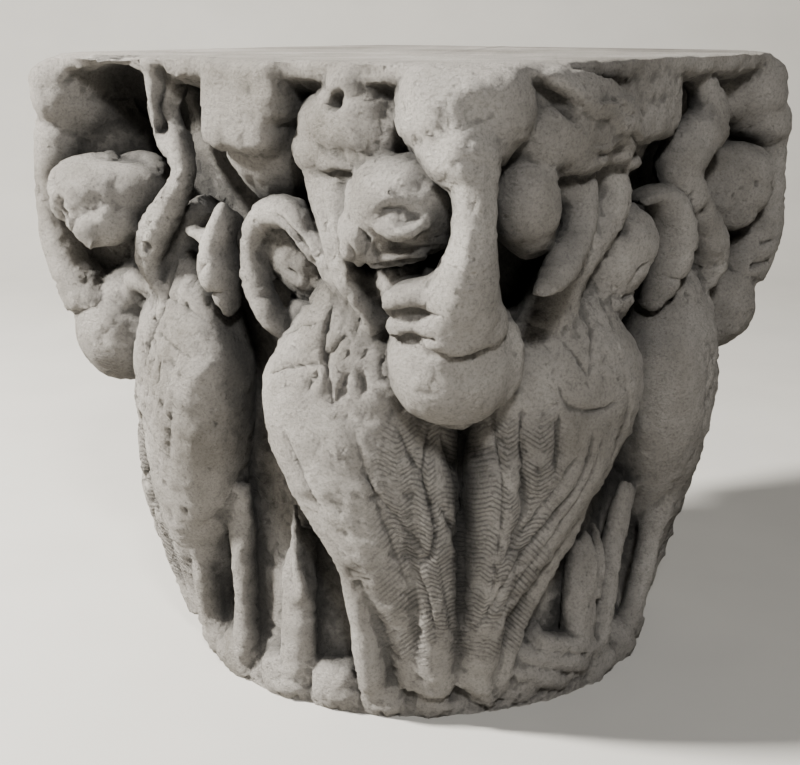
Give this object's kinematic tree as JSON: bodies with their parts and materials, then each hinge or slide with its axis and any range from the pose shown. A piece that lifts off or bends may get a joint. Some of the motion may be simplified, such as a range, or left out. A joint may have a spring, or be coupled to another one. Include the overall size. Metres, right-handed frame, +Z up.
{
  "type": "historiated capital",
  "caption": "Carved stone capital with a square top on a round foot, birds back to back under the corners and beast heads above.",
  "frame": {"origin": "centre of the round underside, on the surface that the capital stands on", "axes": "+Z up along the capital's own axis; the four faces look along +X, -X, +Y and -Y; the pictured corner points to +X, -Y"},
  "size_m": [0.3714, 0.3886, 0.38],
  "materials": {
    "stone": "carved fine-grained pale stone, worn and gritty, matt"
  },
  "bodies": {
    "root": {"capital": "stone"}
  },
  "joints": []
}
